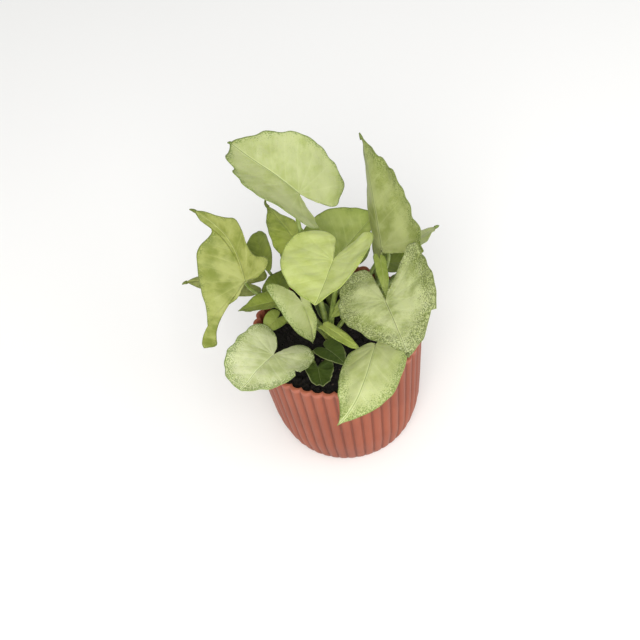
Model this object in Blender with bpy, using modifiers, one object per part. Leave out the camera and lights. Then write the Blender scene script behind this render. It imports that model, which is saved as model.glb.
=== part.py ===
"""An arrowhead plant in a small ribbed plastic pot: the pot, its soil, the shoots and every leaf blade.

The origin is the middle of the pot's base and +Z is up. The front of the pot faces -Y.
Sizes in the tables are millimetres and degrees; MM turns millimetres into Blender's metres.
"""

import math

import bmesh
import bpy
import numpy as np
from mathutils import Matrix, Vector

MM = 0.001

# Pot
POT_HEIGHT = 55.0
RIM_RADIUS = 34.0
BASE_RADIUS = 25.5
# Outer radius at each share of the height: nearly straight above, rounded in to the base.
POT_PROFILE = (
    (0.0, BASE_RADIUS), (0.03, 27.6), (0.1, 28.9), (0.25, 30.8), (0.5, 32.0), (1.0, RIM_RADIUS),
)
POT_WALL = 1.7
RIB_COUNT = 46
RIB_DEPTH = 1.1
RIB_TURN = math.radians(-130.0)
DRAIN_HOLE_COUNT = 5
DRAIN_HOLE_RADIUS = 2.5
DRAIN_HOLE_CIRCLE = 15.0

# Soil
SOIL_TOP = 51.0
SOIL_GAP = 0.3
SOIL_SIDES = 36
SOIL_BUMP = 0.7

# Leaves and stems
BLADE_THICKNESS = 0.7
BLADE_RINGS = (0.35, 0.7, 1.0)
PETIOLE_GAP = 1.25
CROWN_RADIUS = 2.6
CROWN_FOOT = 30.0
CROWN_TOP = 53.0
CROWN_HOLE_GAP = 0.4

# One half of a leaf's outline, from the drip tip round the widest part and the basal lobe to the
# sinus. x is a share of the length, or behind the petiole of the lobe; y is a share of the half width.
HALF_OUTLINE = (
    (1.0, 0.0),
    (0.93, 0.075),
    (0.8, 0.3),
    (0.62, 0.6),
    (0.4, 0.85),
    (0.15, 0.98),
    (-0.15, 1.0),
    (-0.55, 0.9),
    (-0.88, 0.66),
    (-1.0, 0.42),
    (-0.85, 0.2),
    (-0.45, 0.07),
)

# The left hanging leaf is cut unlike the rest: a notch behind its tip, a long tail for its left lobe
# and a narrow right side. Its two sides in millimetres, from the tip to the sinus.
HANGING_OUTLINE = (
    (
        (31.5, 0.0), (27.0, 3.0), (25.0, 3.0), (22.5, 2.9), (21.0, 4.4), (19.0, 8.0), (17.5, 11.0),
        (15.0, 14.0), (11.5, 15.5), (6.0, 17.0), (0.0, 17.5), (-5.5, 17.5), (-13.0, 20.5),
        (-17.0, 27.0), (-21.5, 33.5), (-21.5, 31.5), (-20.5, 26.5), (-16.5, 21.0), (-13.0, 16.5),
        (-10.0, 12.5), (-7.5, 9.3), (-6.0, 5.3), (-4.0, 3.2),
    ),
    (
        (31.5, 0.0), (28.5, -3.4), (25.0, -6.3), (23.0, -9.6), (18.5, -8.5), (12.0, -6.8), (8.0, -9.0),
        (5.3, -14.5), (2.5, -12.5), (0.0, -7.0), (0.0, -2.5),
    ),
)

# Where each shoot leaves the soil.
CROWNS = {
    "shoot_centre": (-3.0, -4.0),
    "shoot_left": (-13.0, 5.0),
    "shoot_right": (10.0, 3.0),
    "shoot_front_right": (11.0, -13.0),
    "shoot_front_left": (-12.0, -11.0),
    "shoot_back": (0.0, 14.0),
}


def leaf(
    shoot,
    base,
    heading,
    pitch,
    roll,
    length,
    half,
    lobe,
    colour="pale",
    splay=(0, 0),
    fold=(10, 10),
    cup=(5, 5),
    droop=20,
    twist=0,
    bend=0,
    hook=0,
    fullness=(1, 1),
    wave=0.4,
    stem=(1.3, 0.7),
    lift=0.45,
    approach=(0.5, 0, 0.86),
    outline=None,
):
    """One leaf's own sizes. Pairs are its left and right side, seen from above with the tip ahead.

    base is where the petiole meets the blade; heading, pitch and roll turn the midrib there.
    half and lobe are the half widths and basal lobes, splay swings the lobes' ends outwards,
    fold is the crease at the midrib and cup the further curl out to the edge, droop and twist
    act from base to tip, bend moves the tip to the left, hook the lobes' ends to the right, and
    fullness under 1 rounds the front.
    stem is the petiole's radius at the crown and at the blade, lift how steeply it starts and
    approach its direction at its end: along the midrib, to the left and up through the blade.
    """
    return dict(locals())


LEAVES = {
    "leaf_top_left": leaf(
        "shoot_centre", (-5.5, 22.5, 107.5), 165, 55, -22, 32.5, (20, 20), (9, 18),
        splay=(0.15, 0.1), fold=(26, 12), cup=(28, -10), droop=58, twist=-18, fullness=(0.7, 0.8),
    ),
    "leaf_left_hanging": leaf(
        "shoot_centre", (-31.5, 11, 78), 97, 42, 0, 30, (16, 14), (20, 2), "green",
        outline=HANGING_OUTLINE, fold=(0, 45), cup=(10, 0), droop=8, bend=0.36, hook=1,
    ),
    "leaf_left_back": leaf(
        "shoot_left", (-24.5, 22.5, 75), 93, 26, -19, 14, (7, 6.5), (5, 5), "dark",
        fold=(14, 21), cup=(6, 17), droop=23, fullness=(0.5, 0.5), stem=(1.0, 0.6),
    ),
    "leaf_far_left": leaf(
        "shoot_left", (-32, 21, 66), 158, 0, 0, 29, (9, 9), (7, 7), "green", stem=(1.1, 0.6),
    ),
    "leaf_upper_left": leaf(
        "shoot_back", (-10, 21.5, 84), 115, 20, 18, 20.5, (9.5, 7.5), (7, 7), "dark",
        fold=(3, -5), cup=(-3, 2), droop=14, twist=8, stem=(1.1, 0.6),
    ),
    "leaf_centre": leaf(
        "shoot_centre", (3, 0.5, 92), -108, 12, 6, 29.5, (18, 19), (9.5, 17.5),
        splay=(0.1, -0.1), fold=(20, 17), cup=(14, 0), droop=-5, fullness=(1.0, 0.7),
    ),
    "leaf_upper_middle": leaf(
        "shoot_back", (6.5, 26.5, 67.5), 30, 31, 18, 22, (18, 6), (12, 6), "green",
        droop=18, fullness=(0.6, 0.8),
    ),
    "leaf_tall_right": leaf(
        "shoot_right", (22.5, 18, 76.5), 92, 59, -24, 43.5, (12, 20.5), (16.5, 2.5),
        splay=(0.5, -0.3), fold=(-43, 14), cup=(-24, 13), droop=7, twist=-15, bend=0.05,
        fullness=(1.0, 0.7), approach=(0.6, 0.5, 0.65),
    ),
    "leaf_right": leaf(
        "shoot_right", (19.5, -12.5, 79.5), -83, 10, 7, 30, (24, 17.5), (10, 23),
        splay=(0.3, -0.2), fold=(21, 15), cup=(40, -20), droop=8, twist=-11, fullness=(0.6, 1.0),
    ),
    "leaf_front_right": leaf(
        "shoot_front_right", (13, -25.5, 71), -115, -5, 18, 33, (17, 14), (7, 2.5),
        fold=(8, -19), cup=(23, -5), droop=38, twist=-41, bend=-0.08,
    ),
    "leaf_front_left": leaf(
        "shoot_front_left", (-25, -17, 65), -124, 23, -6, 23.5, (15, 14.5), (13, 12),
        splay=(0, 0.2), fold=(2, 10), cup=(12, 12), droop=19, fullness=(0.6, 0.3),
    ),
    "leaf_folded_left": leaf(
        "shoot_centre", (-11, -3.5, 76), -67, -52, -13, 17.5, (4, 10), (5, 13),
        splay=(0, 0.6), fold=(60, 14), cup=(20, -13), droop=29, twist=-14, stem=(1.2, 0.7),
    ),
    "leaf_small_left": leaf(
        "shoot_left", (-23.5, 3.5, 71.5), 174, -5, 1, 13.5, (5, 5.5), (4.5, 4.5), "green",
        fold=(16, 8), cup=(10, 4), stem=(0.9, 0.5), wave=0.2,
    ),
    "leaf_low_left": leaf(
        "shoot_left", (-22.5, 2.5, 62.5), -139, 0, -9, 7.5, (4.5, 4.5), (3.5, 3.5), "green",
        stem=(0.9, 0.5), wave=0.1,
    ),
    "leaf_narrow_middle": leaf(
        "shoot_centre", (-4.5, -9, 67.5), -37, -15, -32, 17.5, (5, 6), (1, 1), "green",
        fold=(-2, 6), cup=(-2, 13), droop=16, twist=17, stem=(1.0, 0.5), wave=0.1,
        approach=(0.1, -0.7, 0.7),
    ),
    "leaf_low_middle": leaf(
        "shoot_front_left", (-5, -11, 56), -52, 5, -10, 11.5, (5.5, 6), (3.5, 3), "dark",
        stem=(0.9, 0.5), wave=0.1, lift=1.3,
    ),
    "leaf_round_front": leaf(
        "shoot_front_left", (-9.5, -18, 53.5), -89, -3, -10, 10, (6.5, 7), (3, 3), "dark",
        fold=(12, 12), cup=(35, 45), droop=-20, fullness=(0.5, 0.5), stem=(0.9, 0.5), wave=0.5,
        lift=1.3,
    ),
    "leaf_far_right": leaf(
        "shoot_right", (34.5, 22, 70.5), 44, 0, -17, 17, (6.5, 6.5), (5, 5), "green",
        fold=(5, 13), droop=22, stem=(1.1, 0.6),
    ),
    "leaf_inner_right": leaf(
        "shoot_right", (20.8, 10, 77.5), -88, -12, -17, 17, (2.4, 3.4), (3, 3), "green",
        fold=(13, 24), droop=22, twist=9, stem=(1.1, 0.6), wave=0.2,
    ),
    "leaf_right_back": leaf(
        "shoot_back", (23.8, 24.4, 60.3), -5, 0, 0, 17, (6.5, 6.5), (4, 4), "green",
        droop=15, stem=(1.1, 0.6), lift=0.8,
    ),
    "leaf_inner_low": leaf(
        "shoot_right", (24.5, 18, 56.5), -95, 0, 0, 16, (5, 5), (3, 2), "green",
        stem=(1.0, 0.6), wave=0.2, droop=0, lift=0.8,
    ),
    "leaf_inner_centre": leaf(
        "shoot_centre", (8.5, -1.5, 73), -152, -12, 0, 12, (5, 3), (4, 3), "green",
        fullness=(0.7, 0.7), stem=(1.1, 0.6), wave=0.2,
    ),
    "leaf_inner_small": leaf(
        "shoot_centre", (-3.5, 3.5, 59), 110, 20, 22, 9, (3.5, 3.5), (2.5, 2.5), "dark",
        fold=(18, 10), stem=(0.9, 0.5), wave=0.1,
    ),
    "leaf_inner_left": leaf(
        "shoot_left", (-21.5, 12.5, 68.5), 55, 15, -2, 12, (5, 6.5), (4, 4), "dark",
        stem=(1.0, 0.6), wave=0.2,
    ),
    "leaf_back_left": leaf(
        "shoot_back", (-7, 32, 63), 100, 5, 8, 24, (11, 11), (7, 7), "green", droop=50,
    ),
    "leaf_back_right": leaf(
        "shoot_back", (11, 31, 61), 72, 5, -6, 24, (8, 8), (5, 5), "green", droop=45, lift=1.0,
    ),
    "leaf_back_low": leaf(
        "shoot_back", (3, 31, 56), 90, 0, 0, 18, (8, 8), (4, 4), "dark", droop=40, lift=1.0,
    ),
}

COLOURS = {
    "pale": (0.60, 0.68, 0.30),
    "green": (0.36, 0.48, 0.12),
    "dark": (0.14, 0.24, 0.04),
    "stem": (0.17, 0.25, 0.05),
    "pot": (0.45, 0.16, 0.10),
    "soil": (0.018, 0.014, 0.011),
}


def clear_scene():
    for thing in list(bpy.data.objects):
        bpy.data.objects.remove(thing, do_unlink=True)


def new_collection(name):
    collection = bpy.data.collections.new(name)
    bpy.context.scene.collection.children.link(collection)
    return collection


def plain_material(name, colour, roughness):
    material = bpy.data.materials.new(name)
    material.use_nodes = True
    shader = material.node_tree.nodes["Principled BSDF"]
    shader.inputs["Base Color"].default_value = (*colour, 1.0)
    shader.inputs["Roughness"].default_value = roughness
    shader.inputs["Metallic"].default_value = 0.0
    return material


def object_from_bmesh(name, shape, collection, material=None):
    mesh = bpy.data.meshes.new(name)
    shape.to_mesh(mesh)
    shape.free()
    if material:
        mesh.materials.append(material)
    thing = bpy.data.objects.new(name, mesh)
    collection.objects.link(thing)
    return thing


def evaluated_mesh(thing):
    """A copy of the object's mesh with its modifiers applied."""
    graph = bpy.context.evaluated_depsgraph_get()
    return bpy.data.meshes.new_from_object(thing.evaluated_get(graph))


def apply_modifiers(thing):
    mesh = evaluated_mesh(thing)
    thing.modifiers.clear()
    thing.data = mesh


def cut_with(thing, cutters):
    """Cuts every object of the cutters' collection out of the thing."""
    cut = thing.modifiers.new("cut", "BOOLEAN")
    cut.operation = "DIFFERENCE"
    cut.operand_type = "COLLECTION"
    cut.collection = cutters
    cut.solver = "EXACT"


def cylinder_cutter(name, collection, x, y, low, high, radius, sides=16):
    shape = bmesh.new()
    bmesh.ops.create_cone(
        shape, cap_ends=True, segments=sides, radius1=radius * MM, radius2=radius * MM,
        depth=(high - low) * MM,
    )
    thing = object_from_bmesh(name, shape, collection)
    thing.location = (x * MM, y * MM, 0.5 * (low + high) * MM)
    thing.hide_render = True
    thing.display_type = "WIRE"
    return thing


def pot_radius(share):
    """The ribs' outer radius at a share of the pot's height."""
    heights = [point[0] for point in POT_PROFILE]
    radii = [point[1] for point in POT_PROFILE]
    return float(np.interp(share, heights, radii))


def rib_radius(share, turn):
    """The wall's outer radius at a height and angle: flat-topped ribs between V grooves."""
    across = ((turn - RIB_TURN) * RIB_COUNT / math.tau) % 1.0
    from_crest = abs(2.0 * across - 1.0)
    fade = min(1.0, share / 0.1)
    return pot_radius(share) - RIB_DEPTH * fade * from_crest**3


def make_pot(collection, cutters, material):
    """The ribbed skin and flat floor as one open sheet, thickened inwards, with drain holes."""
    per_rib = (0.0, 0.25, 0.75)
    turns = [RIB_TURN + math.tau * (rib + step) / RIB_COUNT for rib in range(RIB_COUNT) for step in per_rib]
    shares = (0.0, 0.03, 0.1, 0.25, 0.5, 1.0)
    shape = bmesh.new()
    rings = []
    for share in shares:
        ring = []
        for turn in turns:
            radius = rib_radius(share, turn)
            place = Vector((math.cos(turn) * radius, math.sin(turn) * radius, share * POT_HEIGHT))
            ring.append(shape.verts.new(place * MM))
        rings.append(ring)
    count = len(turns)
    for low, high in zip(rings, rings[1:]):
        for i in range(count):
            shape.faces.new((low[i], low[(i + 1) % count], high[(i + 1) % count], high[i]))
    shape.faces.new(list(reversed(rings[0])))
    pot = object_from_bmesh("pot", shape, collection, material)
    wall = pot.modifiers.new("wall", "SOLIDIFY")
    wall.thickness = POT_WALL * MM
    wall.offset = -1.0
    wall.use_even_offset = True
    for i in range(DRAIN_HOLE_COUNT):
        turn = math.tau * i / DRAIN_HOLE_COUNT
        x = DRAIN_HOLE_CIRCLE * math.cos(turn)
        y = DRAIN_HOLE_CIRCLE * math.sin(turn)
        cylinder_cutter(f"drain_cutter_{i}", cutters, x, y, -2.0, POT_WALL + 2.0, DRAIN_HOLE_RADIUS)
    cut_with(pot, cutters)
    return pot


def soil_height(x, y):
    """The soil's uneven top, a little higher in the middle."""
    mound = 1.0 - (math.hypot(x, y) / RIM_RADIUS) ** 2
    bumps = math.sin(0.9 * x + 0.4) * math.cos(0.7 * y) + 0.6 * math.sin(0.5 * y - 1.1 * x + 2.0)
    return SOIL_TOP + 0.8 * mound + SOIL_BUMP * bumps * 0.6


def make_soil(collection, cutters, material):
    """A turned plug that fills the pot, its top made uneven, with a plain hole for each shoot."""
    inset = 1.3 * POT_WALL + RIB_DEPTH + SOIL_GAP
    floor = POT_WALL + SOIL_GAP
    shape = bmesh.new()
    profile = [(radius, SOIL_TOP) for radius in (0.0, 6.0, 12.0, 18.0, 24.0)]
    for height in (SOIL_TOP, 0.5 * POT_HEIGHT, 0.25 * POT_HEIGHT, 0.1 * POT_HEIGHT):
        profile.append((pot_radius(height / POT_HEIGHT) - inset, height))
    corner = pot_radius(0.1) - inset - 2.0
    profile += [(corner, floor), (0.0, floor)]
    verts = [shape.verts.new((radius * MM, 0.0, height * MM)) for radius, height in profile]
    for low, high in zip(verts, verts[1:]):
        shape.edges.new((low, high))
    soil = object_from_bmesh("soil", shape, collection, material)
    turned = soil.modifiers.new("turned", "SCREW")
    turned.angle = math.tau
    turned.steps = SOIL_SIDES
    turned.render_steps = SOIL_SIDES
    turned.use_merge_vertices = True
    turned.merge_threshold = 0.0001
    apply_modifiers(soil)
    for vert in soil.data.vertices:
        if vert.co.z > (SOIL_TOP - 0.01) * MM:
            vert.co.z = soil_height(vert.co.x / MM, vert.co.y / MM) * MM
    shape = bmesh.new()
    shape.from_mesh(soil.data)
    bmesh.ops.recalc_face_normals(shape, faces=shape.faces)
    shape.to_mesh(soil.data)
    shape.free()
    for name, (x, y) in CROWNS.items():
        radius = CROWN_RADIUS + CROWN_HOLE_GAP
        cylinder_cutter(f"{name}_cutter", cutters, x, y, CROWN_FOOT - 1.0, SOIL_TOP + 5.0, radius)
    cut_with(soil, cutters)
    return soil


def smooth_path(points, count):
    """Evenly spaced points along a Catmull-Rom curve through the given points."""
    points = np.asarray(points, float)
    ends = np.vstack([2 * points[0] - points[1], points, 2 * points[-1] - points[-2]])
    share = np.linspace(0.0, 1.0, 24, endpoint=False)[:, None]
    runs = []
    for before, start, end, after in zip(ends, ends[1:], ends[2:], ends[3:]):
        runs.append(
            0.5 * (2 * start + (end - before) * share
                   + (2 * before - 5 * start + 4 * end - after) * share**2
                   + (3 * start - before - 3 * end + after) * share**3)
        )
    fine = np.vstack([*runs, points[-1:]])
    along = np.concatenate([[0.0], np.cumsum(np.linalg.norm(np.diff(fine, axis=0), axis=1))])
    wanted = np.linspace(0.0, along[-1], count)
    return np.stack([np.interp(wanted, along, fine[:, axis]) for axis in range(fine.shape[1])], axis=1)


def half_outline(sizes, side, count):
    """Flat points of one half, from tip to sinus, in millimetres."""
    if sizes["outline"]:
        return smooth_path(sizes["outline"][side], count)
    half, lobe = sizes["half"][side], sizes["lobe"][side]
    sign = 1 if side == 0 else -1
    points = []
    for x, y in HALF_OUTLINE:
        behind = max(0.0, -x)
        wide = y ** sizes["fullness"][side] if x > 0 else y
        wide += sizes["splay"][side] * behind**2
        points.append((x * (sizes["length"] if x > 0 else lobe), wide * half * sign))
    return smooth_path(points, count)


def angle_run(start, rate, distance):
    """Where an arc leads that starts at an angle and turns at a rate, after a distance."""
    if abs(rate) < 1e-6:
        return distance * math.cos(start), distance * math.sin(start)
    end = start + rate * distance
    return (math.sin(end) - math.sin(start)) / rate, (math.cos(start) - math.cos(end)) / rate


def blade_point(sizes, flat, ring, place):
    """The point of the blade's shape, from its place on the flat blade.

    ring is its share of the way from the petiole to the edge, place its share along the half outline.
    """
    x, y = flat
    side = 0 if y > 0 else 1
    sign = 1.0 if y > 0 else -1.0
    half = sizes["half"][side]
    out, up = angle_run(math.radians(sizes["fold"][side]), math.radians(sizes["cup"][side]) / half, abs(y))
    phase = 0.0 if side == 0 else 1.3
    up += sizes["wave"] * ring**2 * math.sin(6 * math.pi * place + phase)
    out = sign * out
    ahead = max(0.0, x / sizes["length"])
    behind = max(0.0, -x / sizes["length"])
    out += sizes["length"] * (sizes["bend"] * ahead**3 - sizes["hook"] * behind**3)
    rate = -math.radians(sizes["droop"]) / sizes["length"] if x > 0 else 0.0
    along, rise = angle_run(0.0, rate, x)
    lean = rate * x
    point = Vector((along - up * math.sin(lean), out, rise + up * math.cos(lean)))
    share = min(1.0, max(-0.5, x / sizes["length"]))
    return Matrix.Rotation(math.radians(sizes["twist"]) * share, 3, "X") @ point


def leaf_turn(sizes):
    """The rotation from the blade's own axes, midrib along x, to the plant's."""
    heading = Matrix.Rotation(math.radians(sizes["heading"]), 3, "Z")
    pitch = Matrix.Rotation(-math.radians(sizes["pitch"]), 3, "Y")
    roll = Matrix.Rotation(math.radians(sizes["roll"]), 3, "X")
    return heading @ pitch @ roll


def make_blade(name, sizes, collection, material):
    """Rings of triangles round the petiole's end, the last one the outline, thickened both ways."""
    count = 22 if sizes["outline"] else 10 if sizes["length"] < 18 else 13
    left = half_outline(sizes, 0, count)[::-1]
    right = half_outline(sizes, 1, count)[1:]
    flat = np.vstack([left, right])
    places = np.concatenate([np.linspace(1, 0, count), np.linspace(0, 1, count)[1:]])
    turn = leaf_turn(sizes)
    base = Vector(sizes["base"])
    shape = bmesh.new()
    centre = shape.verts.new(base * MM)
    rings = []
    for ring in BLADE_RINGS:
        points = [blade_point(sizes, spot * ring, ring, place) for spot, place in zip(flat, places)]
        rings.append([shape.verts.new((base + turn @ point) * MM) for point in points])
    for a, b in zip(rings[0], rings[0][1:]):
        shape.faces.new((centre, b, a))
    for inner, outer in zip(rings, rings[1:]):
        for i in range(len(inner) - 1):
            shape.faces.new((inner[i], inner[i + 1], outer[i]))
            shape.faces.new((inner[i + 1], outer[i + 1], outer[i]))
    blade = object_from_bmesh(name, shape, collection, material)
    solid = blade.modifiers.new("thickness", "SOLIDIFY")
    solid.thickness = BLADE_THICKNESS * MM
    solid.offset = 0.0
    return blade


def petiole_path(sizes, crown):
    """A rising arc from the crown to just under the blade, where it comes up between the lobes."""
    turn = leaf_turn(sizes)
    base = Vector(sizes["base"])
    ahead = (turn @ Vector(sizes["approach"])).normalized()
    start = Vector((*crown, CROWN_TOP - 5.0))
    end = base - ahead * PETIOLE_GAP
    reach = (end - start).length
    rise = Vector((0.0, 0.0, reach * sizes["lift"]))
    pull = ahead * reach * 0.3
    points = []
    for i in range(10):
        t = i / 9
        a, b, c, d = (1 - t) ** 3, 3 * t * (1 - t) ** 2, 3 * t * t * (1 - t), t**3
        points.append(a * start + b * (start + rise) + c * (end - pull) + d * end)
    return points


def tube(name, points, radii, collection):
    """A closed tube mesh through the points, thinning from the first radius to the second."""
    curve = bpy.data.curves.new(name, "CURVE")
    curve.dimensions = "3D"
    curve.bevel_depth = MM
    curve.bevel_resolution = 1
    curve.use_fill_caps = True
    spline = curve.splines.new("POLY")
    spline.points.add(len(points) - 1)
    for i, point in enumerate(points):
        share = i / (len(points) - 1)
        spline.points[i].co = (*(point * MM), 1.0)
        spline.points[i].radius = radii[0] + (radii[1] - radii[0]) * share
    guide = bpy.data.objects.new(name, curve)
    collection.objects.link(guide)
    bpy.context.view_layer.update()
    mesh = evaluated_mesh(guide)
    bpy.data.objects.remove(guide, do_unlink=True)
    shape = bmesh.new()
    shape.from_mesh(mesh)
    bmesh.ops.remove_doubles(shape, verts=shape.verts, dist=0.00001)
    bmesh.ops.recalc_face_normals(shape, faces=shape.faces)
    bpy.data.meshes.remove(mesh)
    return object_from_bmesh(name, shape, collection)


def make_shoot(name, crown, leaves, collection, material):
    """A short stem in the soil with the petioles of its leaves, joined as one body."""
    petioles = new_collection(f"{name}_petioles")
    for leaf_name, sizes in leaves:
        tube(f"{leaf_name}_petiole", petiole_path(sizes, crown), sizes["stem"], petioles)
    shape = bmesh.new()
    bmesh.ops.create_cone(
        shape, cap_ends=True, segments=12, radius1=CROWN_RADIUS * MM, radius2=0.75 * CROWN_RADIUS * MM,
        depth=(CROWN_TOP - CROWN_FOOT) * MM,
    )
    middle = Vector((*crown, 0.5 * (CROWN_TOP + CROWN_FOOT)))
    bmesh.ops.translate(shape, verts=shape.verts, vec=middle * MM)
    shoot = object_from_bmesh(f"{name}_stems", shape, collection, material)
    join = shoot.modifiers.new("join", "BOOLEAN")
    join.operation = "UNION"
    join.operand_type = "COLLECTION"
    join.collection = petioles
    join.solver = "EXACT"
    bpy.context.view_layer.update()
    apply_modifiers(shoot)
    for petiole in list(petioles.objects):
        bpy.data.objects.remove(petiole, do_unlink=True)
    bpy.data.collections.remove(petioles)
    return shoot


def main():
    clear_scene()
    plant = new_collection("arrowhead_plant")
    drain_cutters = new_collection("drain_cutters")
    soil_cutters = new_collection("soil_cutters")
    materials = {
        name: plain_material(name, colour, 0.9 if name == "soil" else 0.5)
        for name, colour in COLOURS.items()
    }
    make_pot(plant, drain_cutters, materials["pot"])
    make_soil(plant, soil_cutters, materials["soil"])
    for name, crown in CROWNS.items():
        own = [(leaf_name, sizes) for leaf_name, sizes in LEAVES.items() if sizes["shoot"] == name]
        make_shoot(name, crown, own, plant, materials["stem"])
    for name, sizes in LEAVES.items():
        make_blade(name, sizes, plant, materials[sizes["colour"]])


main()
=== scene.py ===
"""The looks of the arrowhead plant in its ribbed pot: finer leaves, stems, soil and pot, and materials.

The leaf shapes come from the same sizes and the same formulas as the solids. Sizes are millimetres
and degrees; MM turns millimetres into Blender's metres.
"""

import math

import bmesh
import bpy
import numpy as np
from mathutils import Matrix, Vector, noise


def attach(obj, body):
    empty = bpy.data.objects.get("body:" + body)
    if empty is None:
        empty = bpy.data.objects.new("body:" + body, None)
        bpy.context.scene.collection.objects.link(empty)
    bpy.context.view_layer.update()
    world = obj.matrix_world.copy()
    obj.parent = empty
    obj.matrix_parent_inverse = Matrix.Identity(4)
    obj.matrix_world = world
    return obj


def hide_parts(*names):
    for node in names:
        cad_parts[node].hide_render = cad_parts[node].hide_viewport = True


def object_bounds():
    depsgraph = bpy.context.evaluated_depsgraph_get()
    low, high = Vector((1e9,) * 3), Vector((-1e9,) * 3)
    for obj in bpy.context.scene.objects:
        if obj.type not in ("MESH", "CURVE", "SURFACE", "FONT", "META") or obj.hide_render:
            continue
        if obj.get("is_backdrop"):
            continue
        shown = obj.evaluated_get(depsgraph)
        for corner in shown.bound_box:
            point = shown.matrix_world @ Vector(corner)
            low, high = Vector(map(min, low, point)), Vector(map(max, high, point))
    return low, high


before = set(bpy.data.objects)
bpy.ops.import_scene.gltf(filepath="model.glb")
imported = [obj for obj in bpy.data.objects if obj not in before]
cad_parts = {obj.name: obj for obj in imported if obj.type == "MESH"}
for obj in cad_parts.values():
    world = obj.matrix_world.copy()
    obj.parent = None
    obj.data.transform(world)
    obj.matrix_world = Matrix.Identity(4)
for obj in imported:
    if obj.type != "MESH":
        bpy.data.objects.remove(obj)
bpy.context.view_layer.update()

MM = 0.001
random = np.random.default_rng(11)

# Pot
POT_HEIGHT = 55.0
RIM_RADIUS = 34.0
BASE_RADIUS = 25.5
POT_PROFILE = (
    (0.0, BASE_RADIUS), (0.03, 27.6), (0.1, 28.9), (0.25, 30.8), (0.5, 32.0), (1.0, RIM_RADIUS),
)
POT_WALL = 1.7
# The underside's rings from the middle out, as radius and height.
UNDERSIDE = ((3.0, 0.35), (8.0, 0.35), (12.0, 0.35), (18.5, 0.35), (23.0, 0.2))
# The rounded rim, as how far each ring lies inside the ribs' crests and below the top.
RIM_SECTION = (
    (0.08, 0.35), (0.25, 0.1), (0.55, 0.0), (POT_WALL - 0.35, 0.0), (POT_WALL - 0.1, 0.12),
    (POT_WALL, 0.45),
)
INNER_FLOOR_RADII = (20.0, 12.0, 8.0, 3.0)
RIB_COUNT = 46
RIB_DEPTH = 1.1
RIB_TURN = math.radians(-130.0)
DRAIN_HOLE_COUNT = 5
DRAIN_HOLE_RADIUS = 2.5
DRAIN_HOLE_CIRCLE = 15.0
DRAIN_HOLE_SIDES = 32
POINTS_PER_RIB = 12
GROOVE_SHARPNESS = 2.2

# Soil
SOIL_TOP = 51.0
SOIL_RADIUS = 30.8
CRUMB_COUNT = 900
CRUMB_SIZES = (0.35, 1.5)
CHIP_COUNT = 30
CHIP_SIZES = (0.25, 0.7)
CHIP_FLATNESS = 0.6
# The plug's side below its top edge, as radius and height.
SOIL_SIDE = ((SOIL_RADIUS - 0.3, 49.0), (29.4, 30.0), (27.6, 13.0), (25.6, 5.0), (24.0, 2.0))
SOIL_POINTS_ROUND = 220
SOIL_RING_COUNT = 66

# Leaves and stems
# A petiole starts this far under the crown's top and would stop PETIOLE_GAP short of the blade, as in
# the solids, but its last point closes that gap up to PETIOLE_END.
PETIOLE_ROOT = 5.0
PETIOLE_GAP = 1.25
PETIOLE_END = 0.45
# How much wider a petiole is at its foot and at its knee, and over what share of its length.
FOOT_SWELL = (0.25, 0.22)
KNEE_SWELL = (0.12, 0.05)
CROWN_RADIUS = 2.6
CROWN_FOOT = 30.0
CROWN_TOP = 53.0
PETIOLE_SIDES = 14
PETIOLE_STEPS = 36
CROWN_SIDES = 20
CROWN_RINGS = 14
BLADE_THICKNESS = 0.5
DENT_LENGTH = 6.5
DENT_DEPTH = 0.9
# A leaf longer than LARGE_LEAF gets the finer of two grids: points along each half edge, and rings.
LARGE_LEAF = 18.0
LARGE_GRID = (76, 34)
SMALL_GRID = (42, 20)
# A leaf of this size or more has its full dents and relief; a smaller one has less.
FULL_RELIEF_SIZE = 30.0
# The edge's ripple out of the sheet and its scallops in the sheet, as shares of the leaf.
RIPPLE_SHARE = 0.022
SCALLOP_SHARE = 0.055
# How fast both come and go along half an edge.
RIPPLE_RATE = 15.0
SCALLOP_RATE = 13.0
# The drip tips' radius where they start and where they end.
TIP_RADII = (0.75, 0.3)
# Relief of a full-size leaf: the swelling between veins, and how far veins and midrib sink above
# and stand out below.
QUILT_RISE = 0.08
VEIN_SINK = 0.05
MIDRIB_SINK = 0.3
VEIN_STAND = 0.22
MIDRIB_STAND = 0.95
# Half widths of those lines, and how wide a strip beside them stays free of the swelling, in shares
# of the leaf's size.
VEIN_WIDTH = 0.016
MIDRIB_WIDTH = 0.02
VEIN_STRIP = 0.045
MIDRIB_STRIP = 0.05

# Camera, lights and floor: places and sizes in metres, powers in watts.
CAMERA_PLACE = (0.0, -0.2571, 0.3614)
CAMERA_AIM = (-0.0058, 0.0028, 0.0574)
CAMERA_ROLL = math.radians(-10.5)
CAMERA_LENS = 56.98
SENSOR_WIDTH = 36.0
PLANT_MIDDLE = (0.0, 0.0, 0.06)
KEY_PLACE = (-0.08, -0.8, 0.75)
KEY_SIZE = 0.8
KEY_POWER = 11.0
FILL_PLACE = (0.75, -0.45, 0.45)
FILL_SIZE = 0.9
FILL_POWER = 3.2
SKY_STRENGTH = 0.62
FLOOR_SIZE = 6.0

# One half of a blade's edge, from the tip to the sinus: ahead as a share of the length, behind as a
# share of the basal lobe, and out as a share of the half width.
HALF_OUTLINE = (
    (1.0, 0.0), (0.93, 0.075), (0.8, 0.3), (0.62, 0.6), (0.4, 0.85), (0.15, 0.98), (-0.15, 1.0),
    (-0.55, 0.9), (-0.88, 0.66), (-1.0, 0.42), (-0.85, 0.2), (-0.45, 0.07),
)

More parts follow.
